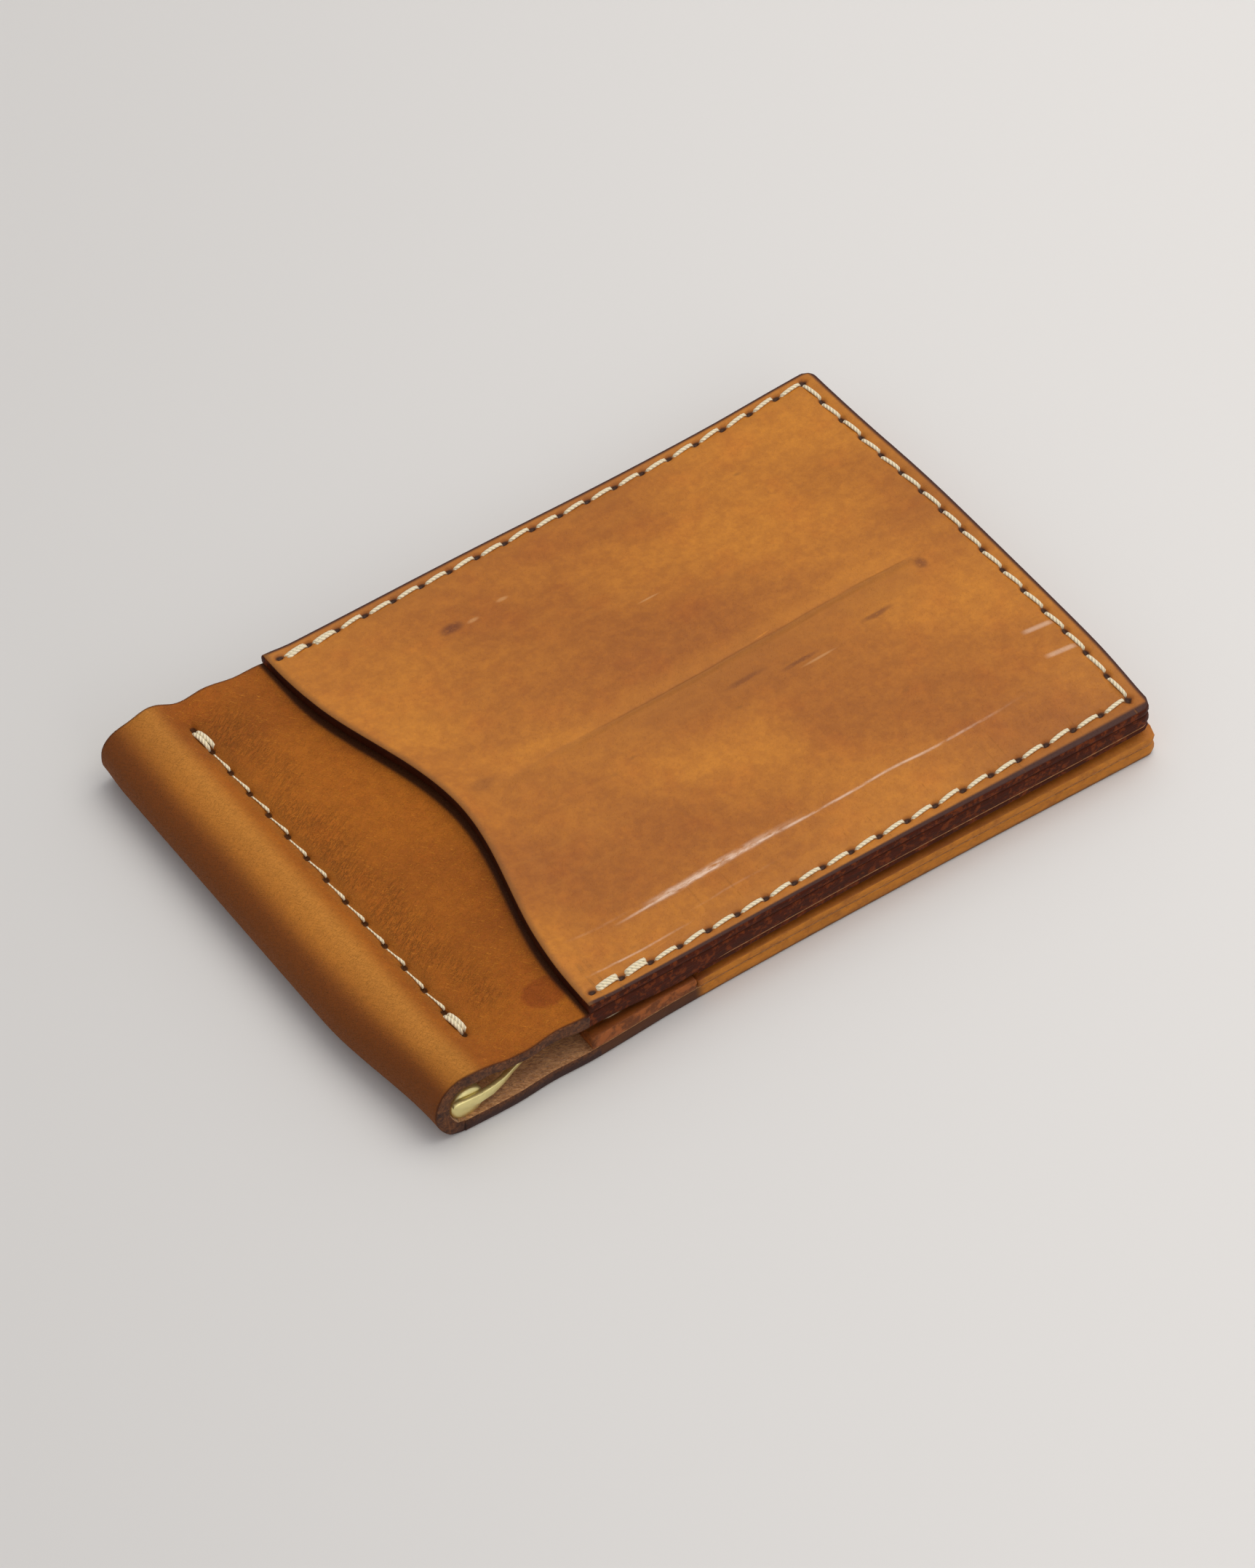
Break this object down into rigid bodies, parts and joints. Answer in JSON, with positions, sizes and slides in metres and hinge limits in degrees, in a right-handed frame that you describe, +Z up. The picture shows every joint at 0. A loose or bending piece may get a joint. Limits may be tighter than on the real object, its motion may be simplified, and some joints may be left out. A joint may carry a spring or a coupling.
{
  "type": "card holder",
  "caption": "Closed bifold leather card holder: scooped outer card pocket, sewn spine sleeve and a sprung brass note clip lying between the leaves.",
  "frame": {"origin": "centre of the overall box in X and Y, on the surface the rear leaf lies on", "axes": "+X from the spine sleeve to the free edge, +Y along the spine to its far end, +Z up through both leaves"},
  "size_m": [0.103, 0.0682, 0.0102],
  "materials": {
    "cover_leather": "matte nap",
    "outer_leather": "waxed, lightly polished",
    "pocket_leather": "satin",
    "waxed_thread": "waxed",
    "brass": "polished"
  },
  "bodies": {
    "rear_leaf": {"rear_cover_panel": "cover_leather", "rear_t_pocket": "pocket_leather", "rear_second_pocket": "pocket_leather", "rear_seam_thread": "waxed_thread"},
    "spine": {"spine_sleeve": "cover_leather", "spine_seam_thread": "waxed_thread", "clip_barrel": "brass", "clip_cap_front": "brass", "clip_cap_rear": "brass"},
    "clip": {"clip_bail": "brass"},
    "front_leaf": {"front_inner_pocket": "pocket_leather", "front_cover_panel": "cover_leather", "front_outer_pocket": "outer_leather", "front_seam_thread": "waxed_thread"}
  },
  "joints": [
    {"name": "rear_fold", "type": "hinge", "parent": "rear_leaf", "child": "spine", "pos_m": [-0.0389, 0, 0], "axis": [0, -1, 0], "range_deg": [0, 90]},
    {"name": "front_fold", "type": "hinge", "parent": "spine", "child": "front_leaf", "pos_m": [-0.0389, 0, 0.00675], "axis": [0, -1, 0], "range_deg": [0, 90]},
    {"name": "clip_swing", "type": "hinge", "parent": "spine", "child": "clip", "pos_m": [-0.04685, 0, 0.004], "axis": [0, 1, 0], "range_deg": [0, 10.8]}
  ],
  "couplings": [
    {"joint": "clip_swing", "follows": "rear_fold", "ratio": 0.1199}
  ]
}
